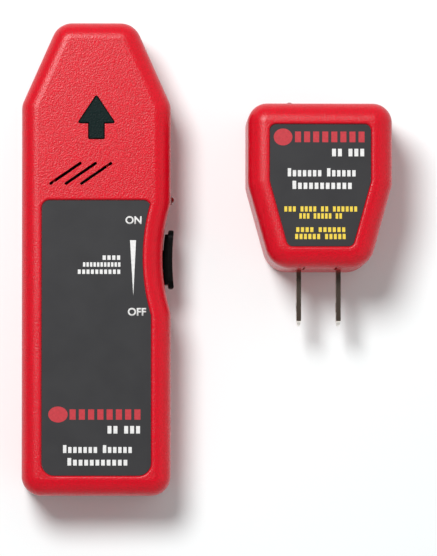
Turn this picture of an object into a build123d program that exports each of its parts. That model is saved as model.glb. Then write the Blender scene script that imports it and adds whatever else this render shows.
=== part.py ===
from build123d import *
import os

# A circuit breaker finder: a battery receiver and its plug-in transmitter, lying side by side on their backs.
# Millimetres, +Z up from the surface that both pieces lie on, +Y towards the receiver's pointed tip.
# The origin is on that surface, under the middle of the pair.

os.makedirs("parts", exist_ok=True)

# ---------------------------------------------------------------- driving dimensions
# Both cases
wall = 2.0
back_edge = 3.0
tongue_height = 1.2
tongue_gap = 0.1
seam_chamfer = 0.25
label_thickness = 0.25
label_depth = 0.9
label_gap = 0.1
clearance = 0.1
kit_gap = 24.4

# Receiver case
receiver_length = 151.3
receiver_height = 27.0
receiver_split = 13.5
receiver_front_edge = 5.2
end_corner = 6.35
tip_width = 24.15
tip_length = 26.35
tip_corner = 6.7
tip_shoulder = 6.0
grip_radius = 58.5
grip_depth = 2.65
grip_y = 0.3
grip_blend = 8.0

# Receiver front
receiver_label_margin = 6.4
receiver_label_end_margin = 6.45
receiver_label_low_corner = 4.0
receiver_label_high_corner = 2.5
label_rim_round = 0.7
label_below_slots = 8.6
arrow_below_tip = 23.55
arrow_head_length = 8.7
arrow_length = 13.75
arrow_width = 11.6
arrow_stem = 4.85
arrow_corner = 0.3
arrow_rise = 0.5
arrow_edge = 0.2
arrow_flange = 1.0
arrow_gap = 0.25
slot_count = 3
slot_length = 11.4
slot_width = 0.95
slot_pitch = 4.9
slot_angle = 34.5
slot_x = -4.97
slots_below_arrow = 11.15

# Slide button on the receiver's side
button_length = 18.8
button_height = 10.0
button_thickness = 1.83
button_dish = 0.53
button_proud = 1.1
button_y = 0.13
button_travel = 2.0
neck_length = 16.1
neck_height = 8.0
neck_gap = 0.25
stem_length = 6.0
stem_height = 3.0
stem_gap = 0.3
hook_length = 10.0
hook_height = 6.0
hook_thickness = 1.6
hook_gap = 0.35
lever_width = 1.5
lever_reach = 2.3

# Lights
led_diameter = 3.0
led_flange = 3.8
led_flange_thickness = 1.0
led_length = 5.3
led_hole_gap = 0.1
power_led_y = 19.3
power_led_proud = 1.3
arrow_led_diameter = 5.0

# 9 V battery, its bay and its door
battery_length = 46.4
battery_width = 26.5
battery_thickness = 17.5
battery_skin = 0.4
battery_gap = 0.5
battery_side = 10.55
battery_end_gap = 1.4
battery_back_gap = 0.3
cell_diameter = 8.2
cell_length = 42.0
bay_wall = 2.0
bay_end = 1.5
bay_end_height = 6.0
bay_end_gap = 0.2
snap_thickness = 4.0
snap_gap = 0.1
door_length = 49.5
door_gap = 0.15
door_flange = 1.0
door_step = 1.0
door_tongue_half = 6.0
door_tongue_reach = 2.8

# Screws
case_screw_head = 2.2
case_screw_head_height = 1.5
case_screw_shank = 1.1
case_screw_length = 11.0
well_radius = 2.5
well_depth = 8.0
boss_radius = 3.4
front_boss_radius = 2.7
pilot_radius = 1.15
board_screw_head = 1.9
board_screw_shank = 0.9
board_screw_length = 5.0
standoff_radius = 2.3
end_screw_inset = 7.65
tip_screw_inset = 9.05
tip_screw_side_inset = 1.475
top_screw_inset = 6.35
top_screw_side_inset = 6.1
foot_screw_inset = 9.55
foot_screw_side_inset = 2.2
board_screw_inset = 3.0

# Receiver board and pickup
receiver_board_side_gap = 8.8
board_above_bay = 6.05
board_below_coil = 4.0
receiver_board_top = 11.15
board_thickness = 1.6
coil_below_tip = 5.15
coil_length = 16.5
coil_height = 12.5
coil_flange = 12.0
coil_flange_thickness = 1.2
core_radius = 2.5
core_overhang = 2.0
bobbin_wall = 0.7
winding_radius = 5.2

# Transmitter case
transmitter_width = 46.0
transmitter_length = 52.7
transmitter_height = 36.5
transmitter_split = 17.0
transmitter_front_edge = 5.8
transmitter_y = 23.0
foot_width = 31.2
shoulder_y = 0.4
top_corner = 6.2
shoulder_corner = 7.8
foot_corner = 8.2
transmitter_label_margin = 6.95
transmitter_label_corner = 2.0
transmitter_led_x = -9.2
transmitter_led_proud = 1.3
relief_x = 5.1
relief_width = 0.6
relief_depth = 0.55

# Plug blades, to the common two-blade pattern
blade_pitch = 12.7
blade_thickness = 1.5
blade_width = 6.35
blade_reach = 17.9
blade_tail = 11.0
blade_hole_radius = 1.6
blade_hole_from_base = 11.9
blade_tip_length = 1.9
blade_tip_narrowing = 0.4
carrier_length = 8.0
carrier_height = 12.0
carrier_side = 2.2

# Transmitter board
transmitter_board_side_gap = 7.0
transmitter_board_foot_gap = 15.85
transmitter_board_top_gap = 4.85
transmitter_board_top = 10.6

# ---------------------------------------------------------------- places worked out from them
# The kit, across
receiver_width = battery_width + 2 * battery_side
kit_width = receiver_width + kit_gap + transmitter_width
receiver_x = (receiver_width - kit_width) / 2
transmitter_x = (kit_width - transmitter_width) / 2
receiver_inside = receiver_width / 2 - wall
grip_x = receiver_width / 2 - grip_depth + grip_radius

# The receiver, from its lower end up
receiver_end = -receiver_length / 2
battery_end = receiver_end + wall + battery_end_gap
battery_low = wall + battery_back_gap
battery_middle = battery_low + battery_thickness / 2
snap_start = battery_end + battery_length + snap_gap
bay_half = battery_width / 2 + battery_gap
groove_half = bay_half + door_flange
bay_high = snap_start + snap_thickness + bay_end_gap + bay_end
door_inner_end = receiver_end + door_length
receiver_board_low = bay_high + board_above_bay
label_bottom = receiver_end + receiver_label_end_margin

# The receiver, from its tip down
receiver_tip = receiver_length / 2
coil_high = receiver_tip - coil_below_tip
coil_low = coil_high - coil_length
receiver_board_high = coil_low - board_below_coil
arrow_tip = receiver_tip - arrow_below_tip
arrow_base = arrow_tip - arrow_head_length
arrow_foot = arrow_tip - arrow_length
slot_y = arrow_foot - slots_below_arrow
label_top = slot_y - label_below_slots
slot_places = [(slot_x + (i - (slot_count - 1) / 2) * slot_pitch, slot_y) for i in range(slot_count)]

# The receiver's screws
receiver_board_width = receiver_width - 2 * receiver_board_side_gap
end_screw_x = receiver_inside - boss_radius + 0.3
tip_screw_x = tip_width / 2 - tip_screw_side_inset
receiver_screws = [(side * end_screw_x, receiver_end + end_screw_inset) for side in (1, -1)]
receiver_screws += [(side * tip_screw_x, receiver_tip - tip_screw_inset) for side in (1, -1)]
board_screw_x = receiver_board_width / 2 - board_screw_inset
board_screw_y = (receiver_board_low + board_screw_inset, receiver_board_high - board_screw_inset - 0.5)
board_screws = [(x, y) for x in (-board_screw_x, board_screw_x) for y in board_screw_y]

# The transmitter
transmitter_end = -transmitter_length / 2
transmitter_board_width = transmitter_width - 2 * transmitter_board_side_gap
transmitter_board_low = transmitter_end + transmitter_board_foot_gap
transmitter_board_high = -transmitter_end - transmitter_board_top_gap
top_screw_x = transmitter_width / 2 - top_screw_side_inset
foot_screw_x = foot_width / 2 - foot_screw_side_inset
transmitter_screws = [(side * top_screw_x, -transmitter_end - top_screw_inset) for side in (1, -1)]
transmitter_screws += [(side * foot_screw_x, transmitter_end + foot_screw_inset) for side in (1, -1)]
transmitter_board_screws = [(-13.0, 12.0), (13.0, 12.0)]


def receiver_at(height):
    """The receiver's own drawing plane, at a height above the surface."""
    return Plane(origin=(receiver_x, 0, height))


def transmitter_at(height):
    """The transmitter's own drawing plane, at a height above the surface."""
    return Plane(origin=(transmitter_x, transmitter_y, height))


def receiver_side(x):
    """A plane across the receiver, its local x along the wand and its local y up from the seam."""
    return Plane(origin=(receiver_x + x, 0, receiver_split), x_dir=(0, 1, 0), z_dir=(1, 0, 0))


def receiver_end_on(y, height):
    """A plane that looks along the wand towards its tip, its local x across and its local y up."""
    return Plane(origin=(receiver_x, y, height), x_dir=(1, 0, 0), z_dir=(0, -1, 0))


def transmitter_end_on(y, height):
    """A plane that looks along the transmitter towards its top, its local x across and its local y up."""
    return Plane(origin=(transmitter_x, transmitter_y + y, height), x_dir=(1, 0, 0), z_dir=(0, -1, 0))


def save(piece, name):
    """Label a finished piece and write it."""
    piece.part.label = name
    export_step(piece.part, f"parts/{name}.step")


def receiver_outline(inset=0.0):
    """The receiver seen from the front, about its own middle, drawn in by inset all round."""
    half_width = receiver_width / 2
    half_length = receiver_length / 2
    shoulder = half_length - tip_length
    with BuildSketch() as outline:
        with BuildLine():
            FilletPolyline(
                (-half_width, -half_length),
                (half_width, -half_length),
                (half_width, shoulder),
                (tip_width / 2, half_length),
                (-tip_width / 2, half_length),
                (-half_width, shoulder),
                radius=[end_corner, end_corner, tip_shoulder, tip_corner, tip_corner, tip_shoulder],
                close=True,
            )
        make_face()
        with Locations((grip_x, grip_y)):
            Circle(grip_radius, mode=Mode.SUBTRACT)
        fillet(outline.vertices().filter_by_position(Axis.Y, grip_y - 25, grip_y + 25), grip_blend)
        if inset:
            offset(amount=-inset)
    return outline.sketch


def transmitter_outline(inset=0.0):
    """The transmitter seen from the front, about its own middle, drawn in by inset all round."""
    half_width = transmitter_width / 2
    half_length = transmitter_length / 2
    with BuildSketch() as outline:
        with BuildLine():
            FilletPolyline(
                (-foot_width / 2, -half_length),
                (foot_width / 2, -half_length),
                (half_width, shoulder_y),
                (half_width, half_length),
                (-half_width, half_length),
                (-half_width, shoulder_y),
                radius=[foot_corner, foot_corner, shoulder_corner, top_corner, top_corner, shoulder_corner],
                close=True,
            )
        make_face()
        if inset:
            offset(amount=-inset)
    return outline.sketch


def receiver_label_outline(grow=0.0):
    """The receiver's label: straight sides that follow the case, with the grip's hollow beside it."""
    half_width = receiver_width / 2 - receiver_label_margin
    with BuildSketch() as outline:
        with BuildLine():
            FilletPolyline(
                (-half_width, label_bottom),
                (half_width, label_bottom),
                (half_width, label_top),
                (-half_width, label_top),
                radius=2 * [receiver_label_low_corner] + 2 * [receiver_label_high_corner],
                close=True,
            )
        make_face()
        with Locations((grip_x, grip_y)):
            Circle(grip_radius + receiver_label_margin, mode=Mode.SUBTRACT)
        offset(amount=grow)
    return outline.sketch


def transmitter_label_outline(grow=0.0):
    """The transmitter's label: the case's outline drawn in, with small corners of its own."""
    half_width = transmitter_width / 2
    half_length = transmitter_length / 2
    with BuildSketch() as outline:
        with BuildLine():
            Polyline(
                (-foot_width / 2, -half_length),
                (foot_width / 2, -half_length),
                (half_width, shoulder_y),
                (half_width, half_length),
                (-half_width, half_length),
                (-half_width, shoulder_y),
                close=True,
            )
        make_face()
        offset(amount=-transmitter_label_margin, kind=Kind.INTERSECTION)
        fillet(outline.vertices(), transmitter_label_corner)
        offset(amount=grow)
    return outline.sketch


def arrow_outline(grow=0.0):
    """The upward arrow of the receiver's signal window."""
    with BuildSketch() as outline:
        with BuildLine():
            Polyline(
                (0, arrow_tip),
                (arrow_width / 2, arrow_base),
                (arrow_stem / 2, arrow_base),
                (arrow_stem / 2, arrow_foot),
                (-arrow_stem / 2, arrow_foot),
                (-arrow_stem / 2, arrow_base),
                (-arrow_width / 2, arrow_base),
                close=True,
            )
        make_face()
        fillet(outline.vertices(), arrow_corner)
        if grow:
            offset(amount=grow)
    return outline.sketch


def rounded_block(plane, profile, height, radius, round_top, seam_break=0.0):
    """A profile extruded from a plane, with one rim rounded and the other, at the seam, just broken."""
    with BuildPart() as block:
        with BuildSketch(plane):
            add(profile)
        extrude(amount=height)
        levels = block.edges().group_by(Axis.Z)
        rim = levels[-1] if round_top else levels[0]
        seam = levels[0] if round_top else levels[-1]
        fillet(rim, radius)
        if seam_break:
            chamfer(seam, seam_break)
    return block.part


def box_between(plane, low, high):
    """A box on a plane's own axes, from one corner to the opposite one."""
    size = [b - a for a, b in zip(low, high)]
    middle = tuple((a + b) / 2 for a, b in zip(low, high))
    with BuildPart(plane) as block:
        with Locations(middle):
            Box(*size)
    return block.part


def led_body(plane, diameter, flange, length):
    """A light: its flange stands on the plane and its domed body points along the plane's normal."""
    radius = diameter / 2
    with BuildPart(plane) as body:
        with BuildSketch(plane):
            Circle(flange / 2)
        extrude(amount=led_flange_thickness)
        with BuildSketch(plane):
            Circle(radius)
        extrude(amount=length - radius)
        with Locations((0, 0, length - radius)):
            Sphere(radius)
    return body.part


def wire_run(points, bends, radius):
    """A round wire along straight runs joined by tangent arcs."""
    with BuildPart() as wire:
        with BuildLine() as route:
            FilletPolyline(*points, radius=bends)
        start = Plane(origin=route.line @ 0, z_dir=route.line % 0)
        with BuildSketch(start):
            Circle(radius)
        sweep(path=route.line)
    return wire.part


def screw(plane, head, head_height, shank, length):
    """A cross-head screw: the underside of its head lies on the plane and its shank follows the normal."""
    point = 2 * shank
    with BuildPart() as body:
        with BuildSketch(plane.offset(-head_height)):
            Circle(head)
        extrude(amount=head_height)
        with BuildSketch(plane):
            Circle(shank)
        extrude(amount=length - point)
        with BuildSketch(plane.offset(length - point)):
            Circle(shank)
        extrude(amount=point, taper=20)
        with BuildSketch(plane.offset(-head_height)):
            Rectangle(1.4 * head, 0.5)
            Rectangle(0.5, 1.4 * head)
        extrude(amount=0.6 * head_height, mode=Mode.SUBTRACT)
    return body.part


def chip(plane, width, length, height, pins):
    """A dual in-line chip standing on the plane, with pins along both long sides."""
    lift = 0.5
    pitch = 2.54
    with BuildPart() as body:
        with BuildSketch(plane.offset(lift)):
            Rectangle(width, length)
        extrude(amount=height)
        chamfer(body.edges().group_by(Axis.Z)[-1], 0.4)
        with BuildSketch(plane.offset(lift + height)):
            with Locations((0, length / 2)):
                Circle(0.8)
        extrude(amount=-0.5, mode=Mode.SUBTRACT)
        with BuildSketch(plane):
            with GridLocations(width + 0.8, pitch, 2, pins // 2):
                Rectangle(0.5, 0.5)
        extrude(amount=lift + height / 2)
        with BuildSketch(plane.offset(lift + height / 2)):
            with GridLocations(width + 0.3, pitch, 2, pins // 2):
                Rectangle(1.5, 1.2)
        extrude(amount=-0.4)
    return body.part


def lead_and_body(plane, body_radius, body_length, lead_radius, span, height):
    """A part with two bent leads, such as a resistor: its body lies along x, held above the plane."""
    body_start = plane.from_local_coords((-body_length / 2, 0, height))
    across = Plane(origin=body_start, x_dir=plane.z_dir, z_dir=plane.x_dir)
    with BuildPart() as component:
        with BuildSketch(across):
            Circle(body_radius)
        extrude(amount=body_length)
        fillet(component.edges().filter_by(GeomType.CIRCLE), 0.3 * body_radius)
        with BuildLine(plane) as leads:
            FilletPolyline(
                (-span / 2, 0, 0),
                (-span / 2, 0, height),
                (span / 2, 0, height),
                (span / 2, 0, 0),
                radius=3 * lead_radius,
            )
        with BuildSketch(Plane(origin=leads.line @ 0, z_dir=leads.line % 0)):
            Circle(lead_radius)
        sweep(path=leads.line)
    return component.part


def can_capacitor(plane, radius, height):
    """An upright can capacitor with a groove near its foot and a scored top."""
    with BuildPart() as can:
        with BuildSketch(plane):
            Circle(radius)
        extrude(amount=height)
        fillet(can.edges().group_by(Axis.Z)[-1], 0.4)
        with BuildSketch(plane.offset(0.15 * height)):
            Circle(radius)
            Circle(radius - 0.3, mode=Mode.SUBTRACT)
        extrude(amount=0.8, mode=Mode.SUBTRACT)
        with BuildSketch(plane.offset(height)):
            Rectangle(1.2 * radius, 0.3)
            Rectangle(0.3, 1.2 * radius)
        extrude(amount=-0.25, mode=Mode.SUBTRACT)
    return can.part


# ---------------------------------------------------------------- openings that both receiver shells share
stem_slot_low = button_y - stem_length / 2 - stem_gap
stem_slot_high = button_y + stem_length / 2 + button_travel + stem_gap
with BuildPart() as receiver_side_openings:
    with BuildSketch(receiver_side(receiver_inside - 2 * wall)):
        with Locations(((stem_slot_low + stem_slot_high) / 2, 0)):
            Rectangle(stem_slot_high - stem_slot_low, stem_height + 2 * stem_gap)
        with Locations((power_led_y, 0)):
            Circle(led_diameter / 2 + led_hole_gap)
    extrude(amount=4 * wall)

# ---------------------------------------------------------------- receiver front shell
receiver_front_height = receiver_height - receiver_split
receiver_front_block = rounded_block(
    receiver_at(receiver_split),
    receiver_outline(),
    receiver_front_height,
    receiver_front_edge,
    True,
    seam_chamfer,
)
receiver_front_room = rounded_block(
    receiver_at(receiver_split),
    receiver_outline(wall),
    receiver_front_height - wall,
    receiver_front_edge - wall,
    True,
)
sound_tube_radius = 9.4
sound_tube_wall = 1.0
sound_tube_depth = 3.5
with BuildPart() as receiver_front_shell:
    add(receiver_front_block)
    add(receiver_front_room, mode=Mode.SUBTRACT)
    # bosses that take the case screws
    with BuildSketch(receiver_at(receiver_split)):
        with Locations(receiver_screws):
            Circle(front_boss_radius)
    extrude(amount=receiver_front_height - wall)
    with BuildSketch(receiver_at(receiver_split)):
        with Locations(receiver_screws):
            Circle(pilot_radius)
    extrude(amount=receiver_front_height - 2 * wall, mode=Mode.SUBTRACT)
    # tube that leads the beeper's sound to the slots
    with BuildSketch(receiver_at(receiver_height - wall)):
        with Locations((slot_x, slot_y)):
            Circle(sound_tube_radius)
            Circle(sound_tube_radius - sound_tube_wall, mode=Mode.SUBTRACT)
    extrude(amount=-sound_tube_depth)
    # rebate for the rear shell's tongue
    with BuildSketch(receiver_at(receiver_split)):
        add(receiver_outline(wall / 2))
        add(receiver_outline(wall), mode=Mode.SUBTRACT)
    extrude(amount=tongue_height + tongue_gap, mode=Mode.SUBTRACT)
    # recess for the label
    with BuildSketch(receiver_at(receiver_height)):
        add(receiver_label_outline(label_gap))
    extrude(amount=-label_depth, mode=Mode.SUBTRACT)
    fillet(receiver_front_shell.edges(Select.LAST).group_by(Axis.Z)[-1], label_rim_round)
    # arrow window and sound slots
    with BuildSketch(receiver_at(receiver_height)):
        add(arrow_outline(arrow_gap))
        with Locations(slot_places):
            SlotCenterToCenter(slot_length, slot_width, rotation=slot_angle)
    extrude(amount=-wall, mode=Mode.SUBTRACT)
    add(receiver_side_openings.part, mode=Mode.SUBTRACT)
save(receiver_front_shell, "receiver_front_shell")

# ---------------------------------------------------------------- receiver rear shell
receiver_back_block = rounded_block(
    receiver_at(0), receiver_outline(), receiver_split, back_edge, False, seam_chamfer
)
receiver_back_room = rounded_block(
    receiver_at(wall), receiver_outline(wall), receiver_split - wall, back_edge - wall, False
)
coil_cradle_height = 9.0
coil_ribs = [coil_low + coil_flange_thickness / 2, coil_high - coil_flange_thickness / 2]
coil_rib_thickness = 3.2
with BuildPart() as receiver_rear_shell:
    add(receiver_back_block)
    add(receiver_back_room, mode=Mode.SUBTRACT)
    # tongue along the seam
    with BuildSketch(receiver_at(receiver_split)):
        add(receiver_outline(wall / 2 + tongue_gap))
        add(receiver_outline(wall), mode=Mode.SUBTRACT)
    extrude(amount=tongue_height)
    # side walls and end wall of the battery bay, screw bosses and coil ribs
    with BuildSketch(receiver_at(wall)):
        for side in (-1, 1):
            with Locations((side * (bay_half + bay_wall / 2), (receiver_end + wall + bay_high) / 2)):
                Rectangle(bay_wall, bay_high - receiver_end - wall)
        with Locations(receiver_screws):
            Circle(boss_radius)
    extrude(amount=receiver_split - wall)
    with BuildSketch(receiver_at(wall)):
        with Locations((0, bay_high - bay_end / 2)):
            Rectangle(2 * bay_half, bay_end)
    extrude(amount=bay_end_height)
    with BuildSketch(receiver_at(wall)):
        for y in coil_ribs:
            with Locations((0, y)):
                Rectangle(coil_flange + 2, coil_rib_thickness)
    extrude(amount=coil_cradle_height - wall)
    for y in coil_ribs:
        with BuildSketch(receiver_at(coil_height - coil_flange / 2 - clearance)):
            with Locations((0, y)):
                Rectangle(coil_flange + 2 * clearance, coil_flange_thickness + 2 * clearance)
                Rectangle(2 * winding_radius + 0.6, coil_rib_thickness)
        extrude(amount=coil_cradle_height, mode=Mode.SUBTRACT)
    # standoffs for the board
    with BuildSketch(receiver_at(wall)):
        with Locations(board_screws):
            Circle(standoff_radius)
    extrude(amount=receiver_board_top - board_thickness - wall)
    with BuildSketch(receiver_at(receiver_board_top - board_thickness)):
        with Locations(board_screws):
            Circle(board_screw_shank + 0.05)
    extrude(amount=-board_screw_length, mode=Mode.SUBTRACT)
    # screw wells, open at the back
    with BuildSketch(receiver_at(0)):
        with Locations(receiver_screws):
            Circle(well_radius)
    extrude(amount=well_depth, mode=Mode.SUBTRACT)
    with BuildSketch(receiver_at(well_depth)):
        with Locations(receiver_screws):
            Circle(case_screw_shank + 0.15)
    extrude(amount=receiver_split, mode=Mode.SUBTRACT)
    # opening for the battery door, with a stepped groove along each side and a slot for its tongue
    add(
        box_between(receiver_at(0), (-bay_half, receiver_end - 1, -1), (bay_half, door_inner_end, wall)),
        mode=Mode.SUBTRACT,
    )
    add(
        box_between(
            receiver_at(0),
            (-groove_half, receiver_end - 1, door_step),
            (groove_half, door_inner_end, wall + clearance),
        ),
        mode=Mode.SUBTRACT,
    )
    add(
        box_between(
            receiver_at(0),
            (-door_tongue_half - 0.3, door_inner_end - 1, door_step),
            (door_tongue_half + 0.3, door_inner_end + door_tongue_reach + 0.4, wall + 1),
        ),
        mode=Mode.SUBTRACT,
    )
    add(receiver_side_openings.part, mode=Mode.SUBTRACT)
save(receiver_rear_shell, "receiver_rear_shell")

# ---------------------------------------------------------------- battery door
grip_pocket_y = receiver_end + 11.0
with BuildPart() as battery_door:
    add(
        box_between(
            receiver_at(0),
            (-bay_half + door_gap, receiver_end - 1, 0),
            (bay_half - door_gap, door_inner_end - door_gap, wall),
        )
    )
    add(
        box_between(
            receiver_at(0),
            (-groove_half + door_gap, receiver_end - 1, door_step + 0.05),
            (groove_half - door_gap, door_inner_end - door_gap, wall),
        )
    )
    add(receiver_back_block, mode=Mode.INTERSECT)
    add(
        box_between(
            receiver_at(0),
            (-door_tongue_half, door_inner_end - 1, door_step + 0.05),
            (door_tongue_half, door_inner_end + door_tongue_reach, wall),
        )
    )
    # thumb pocket with ribs, and a mark that points the way the door slides
    with BuildSketch(receiver_at(0)):
        with Locations((0, grip_pocket_y)):
            RectangleRounded(16, 9, 2)
        with Locations([(0, grip_pocket_y + dy) for dy in (-2.7, -0.9, 0.9, 2.7)]):
            Rectangle(13, 0.8, mode=Mode.SUBTRACT)
        with Locations((0, grip_pocket_y + 9)):
            Triangle(a=7, B=40, C=40, rotation=180)
    extrude(amount=0.6, mode=Mode.SUBTRACT)
save(battery_door, "battery_door")

# ---------------------------------------------------------------- receiver label and arrow window
with BuildPart() as receiver_label:
    with BuildSketch(receiver_at(receiver_height - label_depth)):
        add(receiver_label_outline())
    extrude(amount=label_thickness)
save(receiver_label, "receiver_label")

with BuildPart() as arrow_window:
    with BuildSketch(receiver_at(receiver_height - wall)):
        add(arrow_outline())
    extrude(amount=wall + arrow_rise)
    chamfer(arrow_window.edges().group_by(Axis.Z)[-1], arrow_edge)
    with BuildSketch(receiver_at(receiver_height - wall)):
        add(arrow_outline(arrow_flange))
    extrude(amount=-arrow_flange)
save(arrow_window, "arrow_window")

# ---------------------------------------------------------------- slide button
button_outer = receiver_width / 2 + button_proud
button_inner = button_outer - button_thickness
button_low = button_y - button_length / 2
button_high = button_y + button_length / 2
neck_face_radius = grip_radius - neck_gap
with BuildPart() as switch_button:
    # dished cap, seen from the front, cut to a rounded plate seen from the side
    with BuildSketch(receiver_at(receiver_split - button_height / 2)) as cap:
        with BuildLine():
            ThreePointArc(
                (button_outer, button_low),
                (button_outer - button_dish, button_y),
                (button_outer, button_high),
            )
            Polyline(
                (button_outer, button_high),
                (button_inner, button_high),
                (button_inner, button_low),
                (button_outer, button_low),
            )
        make_face()
        fillet(cap.vertices(), 0.6)
    extrude(amount=button_height)
    with BuildSketch(receiver_side(button_inner)):
        with Locations((button_y, 0)):
            RectangleRounded(button_length, button_height, 2.5)
    extrude(amount=button_thickness, mode=Mode.INTERSECT)
    # neck, whose inner face follows the case's hollow and clears it over the button's whole travel
    with BuildSketch(receiver_at(receiver_split - neck_height / 2)):
        with Locations((button_inner - 0.5, button_y)):
            Rectangle(2.5, neck_length)
        with Locations((grip_x, grip_y - button_travel / 2)):
            Circle(neck_face_radius, mode=Mode.INTERSECT)
    extrude(amount=neck_height)
    # stem through the wall, and the hook inside that holds the button and carries the lever
    hook_face = receiver_width / 2 - grip_depth - wall - hook_gap
    with BuildSketch(receiver_side(hook_face)):
        with Locations((button_y, 0)):
            Rectangle(stem_length, stem_height)
    extrude(amount=button_inner - hook_face)
    with BuildSketch(receiver_side(hook_face - hook_thickness)):
        with Locations((button_y, 0)):
            Rectangle(hook_length, hook_height)
    extrude(amount=hook_thickness)
    with BuildSketch(receiver_side(hook_face - hook_thickness)):
        with Locations((button_y, 0)):
            Rectangle(lever_width + 2 * clearance, lever_width + 2 * clearance)
    extrude(amount=hook_thickness, mode=Mode.SUBTRACT)
save(switch_button, "switch_button")

# ---------------------------------------------------------------- slide switch: lever and body
switch_body_gap = 0.6
switch_body_face = hook_face - hook_thickness - switch_body_gap
switch_body_width = 4.4
switch_body_length = 9.0
switch_body_height = 4.7
lever_inside = 1.2
with BuildPart() as switch_lever:
    with BuildSketch(receiver_side(switch_body_face - lever_inside)):
        with Locations((button_y, 0)):
            Rectangle(lever_width, lever_width)
    extrude(amount=lever_inside + lever_reach - 0.5)
save(switch_lever, "switch_lever")

switch_body_y = button_y + button_travel / 2
with BuildPart() as slide_switch_body:
    with BuildSketch(receiver_side(switch_body_face - switch_body_width)):
        with Locations((switch_body_y, 0)):
            Rectangle(switch_body_length, switch_body_height)
    extrude(amount=switch_body_width)
    with BuildSketch(receiver_side(switch_body_face)):
        with Locations((switch_body_y, 0)):
            Rectangle(lever_width + button_travel + 0.6, lever_width + 0.4)
    extrude(amount=-lever_inside - 0.3, mode=Mode.SUBTRACT)
    # solder tabs at the board's edge
    with BuildSketch(receiver_at(receiver_board_top)):
        with Locations((switch_body_face - switch_body_width - 0.7, switch_body_y)):
            with GridLocations(1, 2.5, 1, 3):
                Rectangle(1.6, 0.8)
    extrude(amount=0.5)
save(slide_switch_body, "slide_switch_body")

# ---------------------------------------------------------------- lights of the receiver
with BuildPart() as power_led:
    led_base = receiver_width / 2 + power_led_proud - led_length
    led_plane = Plane(
        origin=(receiver_x + led_base, power_led_y, receiver_split), x_dir=(0, 1, 0), z_dir=(1, 0, 0)
    )
    add(led_body(led_plane, led_diameter, led_flange, led_length))
save(power_led, "power_led")

arrow_led_top = receiver_height - wall - arrow_flange - 0.6
arrow_led_length = 8.6
arrow_led_y = [arrow_foot + 2.2, arrow_base + 2.9]
with BuildPart() as arrow_leds:
    for y in arrow_led_y:
        base = receiver_at(arrow_led_top - arrow_led_length)
        lamp_plane = Plane(origin=base.from_local_coords((0, y, 0)))
        add(led_body(lamp_plane, arrow_led_diameter - 0.6, arrow_led_diameter, arrow_led_length))
save(arrow_leds, "arrow_leds")

lead_square = 0.5
with BuildPart() as led_leads:
    # the arrow lights stand on straight leads
    with BuildSketch(receiver_at(receiver_board_top)):
        for y in arrow_led_y:
            with Locations((-1.27, y), (1.27, y)):
                Rectangle(lead_square, lead_square)
    extrude(amount=arrow_led_top - arrow_led_length - receiver_board_top)
    # the side light's leads run in over the board and turn down onto it
    for dy in (-1.27, 1.27):
        add(
            box_between(
                receiver_at(0),
                (receiver_board_width / 2 - 2.0, power_led_y + dy - 0.25, receiver_split - 0.25),
                (led_base, power_led_y + dy + 0.25, receiver_split + 0.25),
            )
        )
        add(
            box_between(
                receiver_at(0),
                (receiver_board_width / 2 - 2.0, power_led_y + dy - 0.25, receiver_board_top),
                (receiver_board_width / 2 - 1.5, power_led_y + dy + 0.25, receiver_split + 0.25),
            )
        )
save(led_leads, "led_leads")

# ---------------------------------------------------------------- receiver board and what it carries
board_middle_y = (receiver_board_low + receiver_board_high) / 2
with BuildPart() as receiver_board:
    with BuildSketch(receiver_at(receiver_board_top - board_thickness)):
        with Locations((0, board_middle_y)):
            RectangleRounded(receiver_board_width, receiver_board_high - receiver_board_low, 1.5)
        with Locations(board_screws):
            Circle(board_screw_shank + 0.2, mode=Mode.SUBTRACT)
    extrude(amount=board_thickness)
save(receiver_board, "receiver_board")

with BuildPart() as receiver_board_screws:
    for x, y in board_screws:
        seat = receiver_at(receiver_board_top).from_local_coords((x, y, 0))
        plane = Plane(origin=seat, x_dir=(1, 0, 0), z_dir=(0, 0, -1))
        add(screw(plane, board_screw_head, 1.2, board_screw_shank, board_screw_length))
save(receiver_board_screws, "receiver_board_screws")

with BuildPart() as receiver_case_screws:
    for x, y in receiver_screws:
        plane = Plane(origin=receiver_at(well_depth).from_local_coords((x, y, 0)))
        add(screw(plane, case_screw_head, case_screw_head_height, case_screw_shank, case_screw_length))
save(receiver_case_screws, "receiver_case_screws")


def on_receiver_board(x, y):
    """A drawing plane on top of the receiver's board."""
    return Plane(origin=receiver_at(receiver_board_top).from_local_coords((x, y, 0)))


def on_receiver_board_turned(x, y):
    """A drawing plane on top of the receiver's board, turned a quarter turn."""
    return Plane(origin=receiver_at(receiver_board_top).from_local_coords((x, y, 0)), x_dir=(0, 1, 0))


beeper_height = receiver_height - wall - sound_tube_depth - 0.6 - receiver_board_top
with BuildPart() as beeper:
    with BuildSketch(on_receiver_board(slot_x, slot_y)):
        Circle(6.0)
    extrude(amount=beeper_height)
    fillet(beeper.edges().group_by(Axis.Z)[-1], 0.6)
    with BuildSketch(on_receiver_board(slot_x, slot_y).offset(beeper_height)):
        Circle(1.1)
    extrude(amount=-3, mode=Mode.SUBTRACT)
save(beeper, "beeper")

with BuildPart() as amplifier_chip:
    add(chip(on_receiver_board(-3.0, 3.0), 6.3, 9.6, 3.3, 8))
save(amplifier_chip, "amplifier_chip")

with BuildPart() as controller_chip:
    add(chip(on_receiver_board(9.0, 30.5), 6.3, 9.6, 3.3, 8))
save(controller_chip, "controller_chip")

with BuildPart() as filter_capacitors:
    for x, y in ((-11.0, -2.5), (-11.0, 5.0), (-11.0, 12.5)):
        add(can_capacitor(on_receiver_board(x, y), 2.5, 7.5))
save(filter_capacitors, "filter_capacitors")

with BuildPart() as receiver_resistors:
    for i in range(4):
        add(lead_and_body(on_receiver_board_turned(-2.0 + 2.7 * i, 13.0), 0.95, 5.4, 0.25, 8.0, 1.2))
save(receiver_resistors, "receiver_resistors")

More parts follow.
